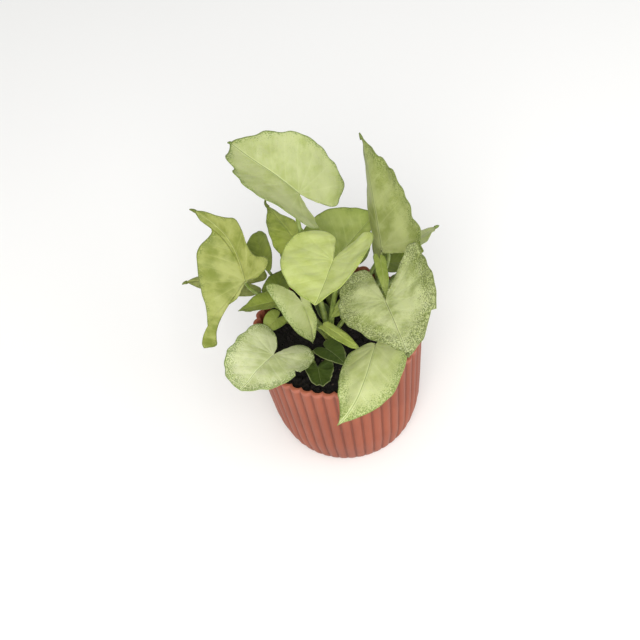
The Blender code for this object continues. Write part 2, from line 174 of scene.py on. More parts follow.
# The left hanging leaf is cut unlike the rest: a notch behind its tip, a long tail for its left lobe
# and a narrow right side. Its two sides in millimetres, from the tip to the sinus.
HANGING_OUTLINE = (
    (
        (31.5, 0.0), (27.0, 3.0), (25.0, 3.0), (22.5, 2.9), (21.0, 4.4), (19.0, 8.0), (17.5, 11.0),
        (15.0, 14.0), (11.5, 15.5), (6.0, 17.0), (0.0, 17.5), (-5.5, 17.5), (-13.0, 20.5),
        (-17.0, 27.0), (-21.5, 33.5), (-21.5, 31.5), (-20.5, 26.5), (-16.5, 21.0), (-13.0, 16.5),
        (-10.0, 12.5), (-7.5, 9.3), (-6.0, 5.3), (-4.0, 3.2),
    ),
    (
        (31.5, 0.0), (28.5, -3.4), (25.0, -6.3), (23.0, -9.6), (18.5, -8.5), (12.0, -6.8), (8.0, -9.0),
        (5.3, -14.5), (2.5, -12.5), (0.0, -7.0), (0.0, -2.5),
    ),
)

# Where each shoot leaves the soil.
CROWNS = {
    "shoot_centre": (-3.0, -4.0),
    "shoot_left": (-13.0, 5.0),
    "shoot_right": (10.0, 3.0),
    "shoot_front_right": (11.0, -13.0),
    "shoot_front_left": (-12.0, -11.0),
    "shoot_back": (0.0, 14.0),
}


def leaf(
    shoot, base, heading, pitch, roll, length, half, lobe, colour="pale", splay=(0, 0),
    fold=(10, 10), cup=(5, 5), droop=20, twist=0, bend=0, hook=0, fullness=(1, 1), wave=0.4,
    stem=(1.3, 0.7), lift=0.45, approach=(0.5, 0, 0.86), outline=None,
):
    """One leaf's own sizes. Pairs are its left and right side, seen from above with the tip ahead.

    base is where the petiole meets the blade; heading, pitch and roll turn the midrib there.
    half and lobe are the half widths and basal lobes, splay swings the lobes' ends outwards,
    fold is the crease at the midrib and cup the further curl out to the edge, droop and twist
    act from base to tip, bend moves the tip to the left, hook the lobes' ends to the right, and
    fullness under 1 rounds the front.
    stem is the petiole's radius at the crown and at the blade, lift how steeply it starts and
    approach its direction at its end: along the midrib, to the left and up through the blade.
    """
    return dict(locals())


LEAVES = {
    "leaf_top_left": leaf(
        "shoot_centre", (-5.5, 22.5, 107.5), 165, 55, -22, 32.5, (20, 20), (9, 18),
        splay=(0.15, 0.1), fold=(26, 12), cup=(28, -10), droop=58, twist=-18, fullness=(0.7, 0.8),
    ),
    "leaf_left_hanging": leaf(
        "shoot_centre", (-31.5, 11, 78), 97, 42, 0, 30, (16, 14), (20, 2), "green",
        outline=HANGING_OUTLINE, fold=(0, 45), cup=(10, 0), droop=8, bend=0.36, hook=1,
    ),
    "leaf_left_back": leaf(
        "shoot_left", (-24.5, 22.5, 75), 93, 26, -19, 14, (7, 6.5), (5, 5), "dark",
        fold=(14, 21), cup=(6, 17), droop=23, fullness=(0.5, 0.5), stem=(1.0, 0.6),
    ),
    "leaf_far_left": leaf(
        "shoot_left", (-32, 21, 66), 158, 0, 0, 29, (9, 9), (7, 7), "green", stem=(1.1, 0.6),
    ),
    "leaf_upper_left": leaf(
        "shoot_back", (-10, 21.5, 84), 115, 20, 18, 20.5, (9.5, 7.5), (7, 7), "dark",
        fold=(3, -5), cup=(-3, 2), droop=14, twist=8, stem=(1.1, 0.6),
    ),
    "leaf_centre": leaf(
        "shoot_centre", (3, 0.5, 92), -108, 12, 6, 29.5, (18, 19), (9.5, 17.5),
        splay=(0.1, -0.1), fold=(20, 17), cup=(14, 0), droop=-5, fullness=(1.0, 0.7),
    ),
    "leaf_upper_middle": leaf(
        "shoot_back", (6.5, 26.5, 67.5), 30, 31, 18, 22, (18, 6), (12, 6), "green",
        droop=18, fullness=(0.6, 0.8),
    ),
    "leaf_tall_right": leaf(
        "shoot_right", (22.5, 18, 76.5), 92, 59, -24, 43.5, (12, 20.5), (16.5, 2.5),
        splay=(0.5, -0.3), fold=(-43, 14), cup=(-24, 13), droop=7, twist=-15, bend=0.05,
        fullness=(1.0, 0.7), approach=(0.6, 0.5, 0.65),
    ),
    "leaf_right": leaf(
        "shoot_right", (19.5, -12.5, 79.5), -83, 10, 7, 30, (24, 17.5), (10, 23),
        splay=(0.3, -0.2), fold=(21, 15), cup=(40, -20), droop=8, twist=-11, fullness=(0.6, 1.0),
    ),
    "leaf_front_right": leaf(
        "shoot_front_right", (13, -25.5, 71), -115, -5, 18, 33, (17, 14), (7, 2.5),
        fold=(8, -19), cup=(23, -5), droop=38, twist=-41, bend=-0.08,
    ),
    "leaf_front_left": leaf(
        "shoot_front_left", (-25, -17, 65), -124, 23, -6, 23.5, (15, 14.5), (13, 12),
        splay=(0, 0.2), fold=(2, 10), cup=(12, 12), droop=19, fullness=(0.6, 0.3),
    ),
    "leaf_folded_left": leaf(
        "shoot_centre", (-11, -3.5, 76), -67, -52, -13, 17.5, (4, 10), (5, 13),
        splay=(0, 0.6), fold=(60, 14), cup=(20, -13), droop=29, twist=-14, stem=(1.2, 0.7),
    ),
    "leaf_small_left": leaf(
        "shoot_left", (-23.5, 3.5, 71.5), 174, -5, 1, 13.5, (5, 5.5), (4.5, 4.5), "green",
        fold=(16, 8), cup=(10, 4), stem=(0.9, 0.5), wave=0.2,
    ),
    "leaf_low_left": leaf(
        "shoot_left", (-22.5, 2.5, 62.5), -139, 0, -9, 7.5, (4.5, 4.5), (3.5, 3.5), "green",
        stem=(0.9, 0.5), wave=0.1,
    ),
    "leaf_narrow_middle": leaf(
        "shoot_centre", (-4.5, -9, 67.5), -37, -15, -32, 17.5, (5, 6), (1, 1), "green",
        fold=(-2, 6), cup=(-2, 13), droop=16, twist=17, stem=(1.0, 0.5), wave=0.1,
        approach=(0.1, -0.7, 0.7),
    ),
    "leaf_low_middle": leaf(
        "shoot_front_left", (-5, -11, 56), -52, 5, -10, 11.5, (5.5, 6), (3.5, 3), "dark",
        stem=(0.9, 0.5), wave=0.1, lift=1.3,
    ),
    "leaf_round_front": leaf(
        "shoot_front_left", (-9.5, -18, 53.5), -89, -3, -10, 10, (6.5, 7), (3, 3), "dark",
        fold=(12, 12), cup=(35, 45), droop=-20, fullness=(0.5, 0.5), stem=(0.9, 0.5), wave=0.5,
        lift=1.3,
    ),
    "leaf_far_right": leaf(
        "shoot_right", (34.5, 22, 70.5), 44, 0, -17, 17, (6.5, 6.5), (5, 5), "green",
        fold=(5, 13), droop=22, stem=(1.1, 0.6),
    ),
    "leaf_inner_right": leaf(
        "shoot_right", (20.8, 10, 77.5), -88, -12, -17, 17, (2.4, 3.4), (3, 3), "green",
        fold=(13, 24), droop=22, twist=9, stem=(1.1, 0.6), wave=0.2,
    ),
    "leaf_right_back": leaf(
        "shoot_back", (23.8, 24.4, 60.3), -5, 0, 0, 17, (6.5, 6.5), (4, 4), "green",
        droop=15, stem=(1.1, 0.6), lift=0.8,
    ),
    "leaf_inner_low": leaf(
        "shoot_right", (24.5, 18, 56.5), -95, 0, 0, 16, (5, 5), (3, 2), "green",
        stem=(1.0, 0.6), wave=0.2, droop=0, lift=0.8,
    ),
    "leaf_inner_centre": leaf(
        "shoot_centre", (8.5, -1.5, 73), -152, -12, 0, 12, (5, 3), (4, 3), "green",
        fullness=(0.7, 0.7), stem=(1.1, 0.6), wave=0.2,
    ),
    "leaf_inner_small": leaf(
        "shoot_centre", (-3.5, 3.5, 59), 110, 20, 22, 9, (3.5, 3.5), (2.5, 2.5), "dark",
        fold=(18, 10), stem=(0.9, 0.5), wave=0.1,
    ),
    "leaf_inner_left": leaf(
        "shoot_left", (-21.5, 12.5, 68.5), 55, 15, -2, 12, (5, 6.5), (4, 4), "dark",
        stem=(1.0, 0.6), wave=0.2,
    ),
    "leaf_back_left": leaf(
        "shoot_back", (-7, 32, 63), 100, 5, 8, 24, (11, 11), (7, 7), "green", droop=50,
    ),
    "leaf_back_right": leaf(
        "shoot_back", (11, 31, 61), 72, 5, -6, 24, (8, 8), (5, 5), "green", droop=45, lift=1.0,
    ),
    "leaf_back_low": leaf(
        "shoot_back", (3, 31, 56), 90, 0, 0, 18, (8, 8), (4, 4), "dark", droop=40, lift=1.0,
    ),
}

# How each leaf looks: the colour of its face, how speckled it is, how wide its green margin and how
# scalloped its edge.
FACES = {
    "leaf_top_left": ("soft", 0.3, 0.12, 2.0),
    "leaf_left_hanging": ("olive", 0.1, 0.15, 1.0),
    "leaf_left_back": ("leek", 0.05, 0.2, 0.5),
    "leaf_far_left": ("olive", 0.2, 0.2, 0.6),
    "leaf_upper_left": ("grass", 0.1, 0.3, 0.6),
    "leaf_centre": ("bright", 0.12, 0.08, 0.5),
    "leaf_upper_middle": ("green", 0.1, 0.1, 0.5),
    "leaf_tall_right": ("sage", 0.45, 0.2, 1.6),
    "leaf_right": ("mottled", 0.7, 0.4, 1.3),
    "leaf_front_right": ("pale", 0.35, 0.35, 0.6),
    "leaf_front_left": ("whitish", 0.35, 0.3, 0.9),
    "leaf_folded_left": ("soft", 0.3, 0.35, 0.5),
    "leaf_small_left": ("leek", 0.3, 0.35, 0.8),
    "leaf_low_left": ("green", 0.2, 0.2, 0.5),
    "leaf_narrow_middle": ("lime", 0.3, 0.25, 0.4),
    "leaf_low_middle": ("deep", 0.1, 0.1, 1.0),
    "leaf_round_front": ("deep", 0.1, 0.1, 2.5),
    "leaf_far_right": ("pale", 0.2, 0.2, 0.6),
    "leaf_inner_right": ("green", 0.1, 0.2, 0.5),
    "leaf_right_back": ("dark", 0.2, 0.2, 0.6),
    "leaf_inner_low": ("leek", 0.1, 0.2, 0.5),
    "leaf_inner_centre": ("green", 0.2, 0.2, 0.5),
    "leaf_inner_small": ("deep", 0.1, 0.1, 0.5),
    "leaf_inner_left": ("dark", 0.1, 0.1, 0.5),
    "leaf_back_left": ("green", 0.2, 0.2, 1.0),
    "leaf_back_right": ("green", 0.2, 0.2, 1.0),
    "leaf_back_low": ("dark", 0.1, 0.1, 1.0),
}
# Face, blotches and margin of each kind of leaf, as linear colours.
TONES = {
    "pale": ((0.46, 0.50, 0.23), (0.36, 0.41, 0.14), (0.12, 0.18, 0.025)),
    "soft": ((0.38, 0.415, 0.19), (0.30, 0.345, 0.115), (0.10, 0.15, 0.02)),
    "whitish": ((0.58, 0.61, 0.36), (0.42, 0.47, 0.20), (0.10, 0.16, 0.022)),
    "mottled": ((0.53, 0.57, 0.29), (0.29, 0.34, 0.105), (0.07, 0.095, 0.011)),
    "bright": ((0.55, 0.61, 0.235), (0.45, 0.515, 0.14), (0.19, 0.26, 0.03)),
    "lime": ((0.47, 0.54, 0.14), (0.36, 0.43, 0.08), (0.15, 0.21, 0.02)),
    "sage": ((0.35, 0.385, 0.15), (0.23, 0.27, 0.07), (0.09, 0.125, 0.018)),
    "green": ((0.27, 0.32, 0.075), (0.19, 0.24, 0.04), (0.08, 0.12, 0.015)),
    "olive": ((0.33, 0.355, 0.10), (0.19, 0.225, 0.035), (0.09, 0.12, 0.013)),
    "grass": ((0.33, 0.38, 0.075), (0.19, 0.24, 0.028), (0.08, 0.11, 0.012)),
    "leek": ((0.22, 0.27, 0.04), (0.15, 0.195, 0.022), (0.07, 0.10, 0.01)),
    # dark and deep: leaves low down and deep among the others, darker partly in their own green and
    # partly as painted shade
    "dark": ((0.15, 0.19, 0.028), (0.09, 0.13, 0.014), (0.05, 0.075, 0.008)),
    "deep": ((0.055, 0.085, 0.012), (0.035, 0.06, 0.007), (0.25, 0.28, 0.11)),
}
# painted shade: the stems' colour low down, under the leaves
STEM_FOOT_TONE = (0.06, 0.085, 0.012)
STEM_TONE = (0.17, 0.235, 0.035)
# pale streaks on the stems: partly striations, partly painted highlights
STEM_STREAK_TONE = (0.24, 0.30, 0.07)
STEM_BLUSH_TONE = (0.16, 0.10, 0.035)
POT_TONES = ((0.235, 0.054, 0.023), (0.285, 0.069, 0.030))
POT_DUST_TONE = (0.37, 0.14, 0.09)
# painted shade for the grooves between the ribs
POT_GROOVE_TONE = (0.11, 0.026, 0.013)
# painted highlight for the rim's top band
POT_RIM_TONE = (0.40, 0.13, 0.08)
FLOOR_TONES = ((0.9, 0.9, 0.89), (0.92, 0.92, 0.91))
# Nicks torn in two edges: the side, the place from tip to sinus, the depth as a share and the width.
NICKS = {
    "leaf_right": (1.0, 0.27, 0.1, 0.2),
    "leaf_front_left": (1.0, 0.42, 0.2, 0.035),
}
# The drip tips that show: their length, and how far they curl to the left.
TIPS = {
    "leaf_upper_left": (3.6, -75.0),
    "leaf_far_right": (3.0, 50.0),
    "leaf_tall_right": (2.0, 30.0),
    "leaf_left_hanging": (2.0, 25.0),
    "leaf_top_left": (1.5, 60.0),
    "leaf_far_left": (2.0, 30.0),
    "leaf_right": (1.0, 20.0),
    "leaf_back_left": (2.0, 20.0),
    "leaf_back_right": (2.0, -20.0),
}


# Shapes


def mesh_object(name, points, faces):
    """An object from points in millimetres and lists of point numbers."""
    mesh = bpy.data.meshes.new(name)
    mesh.from_pydata((np.asarray(points) * MM).tolist(), [], [list(map(int, face)) for face in faces])
    mesh.update()
    mesh.shade_smooth()
    thing = bpy.data.objects.new(name, mesh)
    bpy.context.scene.collection.objects.link(thing)
    return thing


def set_attribute(thing, name, kind, values):
    layer = thing.data.attributes.new(name, kind, "POINT")
    key = "vector" if kind == "FLOAT_VECTOR" else "value"
    layer.data.foreach_set(key, np.asarray(values, np.float32).ravel())


def place_piece(thing, node, slot, material):
    thing.data.materials.append(material)
    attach(thing, "root")
    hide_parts(node)
    return thing


def grid_faces(rows, columns, closed, start=0, flip=False):
    """Quads of a grid of points numbered row by row."""
    faces = []
    for row in range(rows - 1):
        for i in range(columns if closed else columns - 1):
            a = start + row * columns + i
            b = start + row * columns + (i + 1) % columns
            quad = (a, b, b + columns, a + columns)
            faces.append(quad[::-1] if flip else quad)
    return faces


def level_ring(radius, turns, height):
    """Points round the middle at one height. The radius is one number, or one for each point."""
    radius = radius * np.ones(len(turns))
    return np.stack([radius * np.cos(turns), radius * np.sin(turns), np.full(len(turns), height)], 1)


def smooth_path(points, count):
    """Evenly spaced points along a Catmull-Rom curve through the given points."""
    points = np.asarray(points, float)
    ends = np.vstack([2 * points[0] - points[1], points, 2 * points[-1] - points[-2]])
    share = np.linspace(0.0, 1.0, 24, endpoint=False)[:, None]
    runs = []
    for before, start, end, after in zip(ends, ends[1:], ends[2:], ends[3:]):
        runs.append(
            0.5 * (2 * start + (end - before) * share
                   + (2 * before - 5 * start + 4 * end - after) * share**2
                   + (3 * start - before - 3 * end + after) * share**3)
        )
    fine = np.vstack([*runs, points[-1:]])
    along = np.concatenate([[0.0], np.cumsum(np.linalg.norm(np.diff(fine, axis=0), axis=1))])
    wanted = np.linspace(0.0, along[-1], count)
    return np.stack([np.interp(wanted, along, fine[:, axis]) for axis in range(fine.shape[1])], axis=1)


def half_outline(sizes, side, count):
    """Flat points of one half, from tip to sinus, in millimetres."""
    if sizes["outline"]:
        return smooth_path(sizes["outline"][side], count)
    half, lobe = sizes["half"][side], sizes["lobe"][side]
    sign = 1 if side == 0 else -1
    points = []
    for x, y in HALF_OUTLINE:
        behind = max(0.0, -x)
        wide = y ** sizes["fullness"][side] if x > 0 else y
        wide += sizes["splay"][side] * behind**2
        points.append((x * (sizes["length"] if x > 0 else lobe), wide * half * sign))
    return smooth_path(points, count)


def angle_run(start, rate, distance):
    """Where an arc leads that starts at an angle and turns at a rate, after a distance."""
    rate = np.where(np.abs(rate) < 1e-6, 1e-6, rate)
    end = start + rate * distance
    return (np.sin(end) - np.sin(start)) / rate, (np.cos(start) - np.cos(end)) / rate


def bell(distance, width):
    return np.exp(-((distance / width) ** 2))


def leaf_size(sizes):
    return max(sizes["length"], 1.3 * max(sizes["half"]))


def relief_share(sizes):
    """How much of the full relief a leaf of this size gets."""
    return min(1.0, leaf_size(sizes) / FULL_RELIEF_SIZE)


def smooth_noise(places, seed):
    """Uneven waves from -1 to 1 along a line or over a sheet, the same for the same seed."""
    places = np.asarray(places, float)
    spots = places.reshape(-1, places.shape[-1])
    waves = [noise.noise(Vector((*spot, seed)[:3])) for spot in spots]
    return np.array(waves).reshape(places.shape[:-1])


def edge_noise(along, seed):
    """The same along one line only."""
    return smooth_noise(np.stack([along, 0.0 * along], -1), seed)


def blade_points(sizes, x, y, ring, place, ruffle):
    """The blade's shape in its own axes, from places on the flat blade."""
    left = y > 0
    sign = np.where(left, 1.0, -1.0)
    half = np.where(left, *sizes["half"])
    fold = np.radians(np.where(left, *sizes["fold"]))
    out, up = angle_run(fold, np.radians(np.where(left, *sizes["cup"])) / half, abs(y))
    phase = np.where(left, 0.0, 1.3)
    up = up + sizes["wave"] * ring**2 * np.sin(6 * math.pi * place + phase)
    seed = sizes["heading"] + sizes["length"]
    # broad dents over the sheet, and a finer, uneven ripple towards the edge
    dents = smooth_noise(np.stack([x / DENT_LENGTH, y / DENT_LENGTH], -1), seed)
    up = up + relief_share(sizes) * DENT_DEPTH * dents * np.minimum(1.0, 1.6 * ring)
    ripple = RIPPLE_SHARE * ruffle * max(sizes["half"])
    up = up + ripple * ring**5 * edge_noise(RIPPLE_RATE * place * sign, seed + 7.0)
    ahead = np.maximum(0.0, x / sizes["length"])
    behind = np.maximum(0.0, -x / sizes["length"])
    out = sign * out + sizes["length"] * (sizes["bend"] * ahead**3 - sizes["hook"] * behind**3)
    rate = np.where(x > 0, -math.radians(sizes["droop"]) / sizes["length"], 0.0)
    along, rise = angle_run(0.0, rate, x)
    lean = rate * x
    along, rise = along - up * np.sin(lean), rise + up * np.cos(lean)
    twist = math.radians(sizes["twist"]) * np.clip(x / sizes["length"], -0.5, 1.0)
    cosine, sine = np.cos(twist), np.sin(twist)
    return np.stack([along, cosine * out - sine * rise, sine * out + cosine * rise], -1)


def leaf_turn(sizes):
    """The rotation from the blade's own axes, midrib along x, to the plant's."""
    heading = Matrix.Rotation(math.radians(sizes["heading"]), 3, "Z")
    pitch = Matrix.Rotation(-math.radians(sizes["pitch"]), 3, "Y")
    roll = Matrix.Rotation(math.radians(sizes["roll"]), 3, "X")
    return heading @ pitch @ roll


# Veins are laid out on the flat blade in shares of the leaf's length: side veins leave the midrib
# at an even spacing and lean towards the tip, and those of the lobes fan out from the petiole.
VEIN_SPACING = 0.19
VEIN_LEAN = 0.85
VEIN_BEND = 0.35
VEIN_SLOPE = 0.76
FAN_START = math.atan2(1.0, VEIN_LEAN)
FAN_STEP = math.radians(28.0)


def vein_distance(x, y):
    """How far a place is from the nearest side vein, in shares of the leaf's length."""
    side = x - VEIN_LEAN * y + VEIN_BEND * y**2
    beside = np.abs((side / VEIN_SPACING + 0.5) % 1.0 - 0.5) * VEIN_SPACING * VEIN_SLOPE
    turn = (np.arctan2(y, x) - FAN_START) / FAN_STEP
    fanned = np.hypot(x, y) * np.sin(np.abs((turn + 0.5) % 1.0 - 0.5) * FAN_STEP)
    return np.where(side > 0, beside, fanned)


def drip_tip(end, ahead, side, length, curl):
    """A tapering, curling tip as a tube's points and faces."""
    turns = np.radians(curl) * np.linspace(0.0, 1.0, 9)
    steps = np.outer(np.cos(turns), ahead) + np.outer(np.sin(turns), side)
    path = end + np.vstack([-1.2 * ahead, np.cumsum(steps[:-1], axis=0) * length / 8.0 - 0.6 * ahead])
    return tube_mesh(path, np.linspace(*TIP_RADII, len(path)), sides=8, groove=0.0)


def nick_share(node, y, ring, place):
    """How much of the blade is missing at a nick: a sharp step that fades towards the tip."""
    side, where, depth, width = NICKS[node]
    fade = (where - place) / width
    inside = (fade > 0.0) & (fade < 1.0) & (np.sign(y) == side)
    return depth * np.where(inside, 1.0 - fade, 0.0) * ring**8


def blade_faces(ring_count, columns):
    """Faces of the upper and the lower sheet, and of the strips that join them all round."""
    low = 1 + ring_count * columns
    faces = []
    for i in range(columns - 1):
        faces.append((0, 1 + i + 1, 1 + i))
        faces.append((low, low + 1 + i, low + 2 + i))
    faces += grid_faces(ring_count, columns, False, start=1)
    faces += grid_faces(ring_count, columns, False, start=low + 1, flip=True)
    last = (ring_count - 1) * columns
    for i in range(columns - 1):
        a = 1 + last + i
        faces.append((a, a + 1, low + a + 1, low + a))
    for column, flip in ((0, True), (columns - 1, False)):
        line = [0] + [1 + row * columns + column for row in range(ring_count)]
        for a, b in zip(line, line[1:]):
            quad = (a, b, low + b, low + a)
            faces.append(quad[::-1] if flip else quad)
    return faces


def make_blade(node, sizes, ruffle, tip=None):
    """A thin blade with sunken veins, raised below, on rings of points round the petiole's end."""
    count, ring_count = LARGE_GRID if sizes["length"] > LARGE_LEAF else SMALL_GRID
    flat = np.vstack([half_outline(sizes, 0, count)[::-1], half_outline(sizes, 1, count)[1:]])
    places = np.concatenate([np.linspace(1, 0, count), np.linspace(0, 1, count)[1:]])
    columns = len(flat)
    rings = np.linspace(0.0, 1.0, ring_count + 1)[1:] ** 0.85
    x = rings[:, None] * flat[None, :, 0]
    y = rings[:, None] * flat[None, :, 1]
    ring = np.repeat(rings[:, None], columns, 1)
    place = np.repeat(places[None, :], ring_count, 0)
    scallops = edge_noise(SCALLOP_RATE * place * np.sign(y + 1e-9), sizes["heading"])
    off_ends = (1.0 - place**12) * (1.0 - (1.0 - place) ** 12)
    swell = 1.0 + SCALLOP_SHARE * ruffle * ring**4 * scallops * off_ends
    if node in NICKS:
        swell = swell - nick_share(node, y, ring, place)
    sheet = blade_points(sizes, x * swell, y * swell, ring, place, ruffle)
    across = np.gradient(sheet, axis=1)
    outward = np.gradient(sheet, axis=0)
    normal = np.cross(outward, across)
    middle = normal[0].mean(0)
    if middle[2] < 0:
        normal, middle = -normal, -middle
    normal /= np.maximum(np.linalg.norm(normal, axis=-1, keepdims=True), 1e-9)
    middle /= np.linalg.norm(middle)
    size = leaf_size(sizes)
    plan_x, plan_y = x / size, y / size
    veins = vein_distance(plan_x, np.abs(plan_y))
    midrib = np.where(plan_x > 0, np.abs(plan_y), np.hypot(plan_x, plan_y))
    inside = 1.0 - ring**6
    groove = bell(veins, VEIN_WIDTH) * inside
    spine = bell(midrib, MIDRIB_WIDTH) * (1.05 - ring)
    quilt = (1.0 - bell(veins, VEIN_STRIP)) * (1.0 - bell(midrib, MIDRIB_STRIP)) * inside
    depth = relief_share(sizes)
    lift = depth * (QUILT_RISE * quilt - VEIN_SINK * groove - MIDRIB_SINK * spine)
    keel = MIDRIB_STAND * spine * (1.0 - 0.6 * ring)
    under = depth * (QUILT_RISE * quilt - VEIN_STAND * groove - keel)
    thick = BLADE_THICKNESS * (1.0 - 0.45 * ring**3) * (0.7 + 0.3 * depth)
    top = sheet + normal * (0.5 * thick + lift)[..., None]
    bottom = sheet + normal * (-0.5 * thick + under)[..., None]
    points = np.vstack([
        middle * (0.5 * BLADE_THICKNESS - 0.28 * depth), top.reshape(-1, 3),
        middle * (-0.5 * BLADE_THICKNESS - MIDRIB_STAND * depth), bottom.reshape(-1, 3),
    ])
    faces = blade_faces(ring_count, columns)
    plan = np.stack([plan_x, plan_y, ring], -1).reshape(-1, 3)
    centre = np.zeros((1, 3))
    plan = np.vstack([centre, plan, centre, plan])
    under = np.repeat([0.0, 1.0], 1 + ring_count * columns)
    if tip:
        ahead = sheet[-1, count - 1] - sheet[-3, count - 1]
        ahead /= np.linalg.norm(ahead)
        side = np.cross(normal[-2, count - 1], ahead)
        more, more_faces = drip_tip(sheet[-1, count - 1], ahead, side / np.linalg.norm(side), *tip)
        faces.extend([tuple(len(points) + i for i in face) for face in more_faces])
        points = np.vstack([points, more])
        plan = np.vstack([plan, np.tile((plan_x[-1, count - 1], 0.0, 1.0), (len(more), 1))])
        under = np.append(under, np.zeros(len(more)))
    turn = np.array(leaf_turn(sizes))
    blade = mesh_object(f"{node}_blade", points @ turn.T + np.array(sizes["base"]), faces)
    set_attribute(blade, "plan", "FLOAT_VECTOR", plan)
    set_attribute(blade, "under", "FLOAT", under)
    return blade


def petiole_path(sizes, crown):
    """A rising arc from the crown to the blade, where it comes up between the lobes."""
    ahead = (leaf_turn(sizes) @ Vector(sizes["approach"])).normalized()
    base = Vector(sizes["base"])
    start = Vector((*crown, CROWN_TOP - PETIOLE_ROOT))
    end = base - ahead * PETIOLE_GAP
    reach = (end - start).length
    rise = Vector((0.0, 0.0, reach * sizes["lift"]))
    pull = ahead * reach * 0.3
    points = []
    for t in np.linspace(0.0, 1.0, PETIOLE_STEPS):
        a, b, c, d = (1 - t) ** 3, 3 * t * (1 - t) ** 2, 3 * t * t * (1 - t), t**3
        points.append(a * start + b * (start + rise) + c * (end - pull) + d * end)
    points.append(base - ahead * PETIOLE_END)
    return np.array(points)


def tube_mesh(path, radii, sides=PETIOLE_SIDES, groove=0.12):
    """Points and faces of a closed tube, with a shallow channel along one side."""
    tangents = np.gradient(path, axis=0)
    tangents /= np.linalg.norm(tangents, axis=1, keepdims=True)
    side = np.cross(tangents[0], (0.3, 0.1, 1.0))
    rows = []
    for place, tangent, radius in zip(path, tangents, radii):
        side = side - tangent * np.dot(side, tangent)
        side /= np.linalg.norm(side)
        other = np.cross(tangent, side)
        turns = np.linspace(0.0, math.tau, sides, endpoint=False)
        size = radius * (1.0 - groove * np.exp(-((np.sin(turns / 2 - 0.8)) ** 2) * 9.0))
        across = np.outer(size * np.cos(turns), side) + np.outer(size * np.sin(turns), other)
        rows.append(place + across)
    points = np.vstack([*rows, path[:1], path[-1:]])
    count = len(path)
    faces = grid_faces(count, sides, True)
    first, last = count * sides, count * sides + 1
    for i in range(sides):
        faces.append((first, (i + 1) % sides, i))
        faces.append((last, last - 1 - sides + i, last - 1 - sides + (i + 1) % sides))
    return points, faces


def make_shoot(name, crown, leaves):
    """The short stem in the soil and its petioles, wider and sheathed at their feet."""
    points, faces = [], []

    def add(more_points, more_faces):
        start = sum(len(block) for block in points)
        points.append(more_points)
        faces.extend([tuple(start + i for i in face) for face in more_faces])

    heights = np.linspace(CROWN_FOOT, CROWN_TOP + 0.5, CROWN_RINGS)
    share = (heights - CROWN_FOOT) / (CROWN_TOP - CROWN_FOOT)
    swell = 1.0 + 0.08 * np.sin(share * 17.0)
    radii = CROWN_RADIUS * (1.0 - 0.25 * share) * swell * np.sqrt(np.clip(1.0 - share**12, 0.05, 1.0))
    line = np.array([(*crown, height) for height in heights])
    add(*tube_mesh(line, radii, sides=CROWN_SIDES, groove=0.05))
    for sizes in leaves:
        path = petiole_path(sizes, crown)
        share = np.linspace(0.0, 1.0, len(path))
        radii = sizes["stem"][0] + (sizes["stem"][1] - sizes["stem"][0]) * share
        foot = FOOT_SWELL[0] * bell(share, FOOT_SWELL[1])
        knee = KNEE_SWELL[0] * bell(share - 1.0, KNEE_SWELL[1])
        add(*tube_mesh(path, radii * (1.0 + foot + knee)))
    return mesh_object(f"{name}_petioles", np.vstack(points), faces)


def pot_radius(share):
    """The ribs' outer radius at a share of the pot's height."""
    return np.interp(share, [point[0] for point in POT_PROFILE], [point[1] for point in POT_PROFILE])


def smooth_pot_radius(share):
    """The same, with the corners between the profile's straight runs rounded."""
    spread = np.linspace(-0.05, 0.05, 9) * min(1.0, share / 0.06)
    return float(np.mean([pot_radius(np.clip(share + step, 0.0, 1.0)) for step in spread]))


def rib_drop(turns):
    """How far the wall lies behind the ribs' crests: rounded ribs between narrow grooves."""
    across = ((turns - RIB_TURN) * RIB_COUNT / math.tau) % 1.0
    return RIB_DEPTH * np.abs(2.0 * across - 1.0) ** GROOVE_SHARPNESS


def make_pot():
    """One closed skin: underside, ribbed wall, rounded rim, inside and floor, with the drain holes."""
    count = RIB_COUNT * POINTS_PER_RIB
    turns = RIB_TURN + math.tau * np.arange(count) / count
    drop = rib_drop(turns)
    rows = []

    def ring(radius, height, ribs):
        rows.append(level_ring(radius - drop * ribs, turns, height))

    for radius, height in UNDERSIDE:
        ring(radius, height, 0.0)
    ring(BASE_RADIUS - 1.2, 0.0, 0.0)
    ring(BASE_RADIUS - 0.2, 0.0, 0.1)
    for share in np.concatenate([np.linspace(0.012, 0.12, 8), np.linspace(0.16, 0.985, 22)]):
        ring(smooth_pot_radius(share), share * POT_HEIGHT, min(1.0, share / 0.1))
    for inward, down in RIM_SECTION:
        ring(RIM_RADIUS - inward, POT_HEIGHT - down, 1.0)
    for share in np.linspace(0.97, 0.1, 14):
        ring(smooth_pot_radius(share) - POT_WALL, share * POT_HEIGHT, 1.0)
    ring(smooth_pot_radius(0.05) - POT_WALL - 0.4, POT_WALL + 0.6, 0.5)
    ring(smooth_pot_radius(0.05) - POT_WALL - 2.0, POT_WALL, 0.0)
    for radius in INNER_FLOOR_RADII:
        ring(radius, POT_WALL, 0.0)
    faces = grid_faces(len(rows), count, True)
    points = np.vstack([*rows, [[0.0, 0.0, UNDERSIDE[0][1]]], [[0.0, 0.0, POT_WALL]]])
    low, high = len(points) - 2, len(points) - 1
    last = (len(rows) - 1) * count
    for i in range(count):
        faces.append((low, (i + 1) % count, i))
        faces.append((high, last + i, last + (i + 1) % count))
    pot = mesh_object("ribbed_pot", points, faces)
    cut_drain_holes(pot)
    return pot


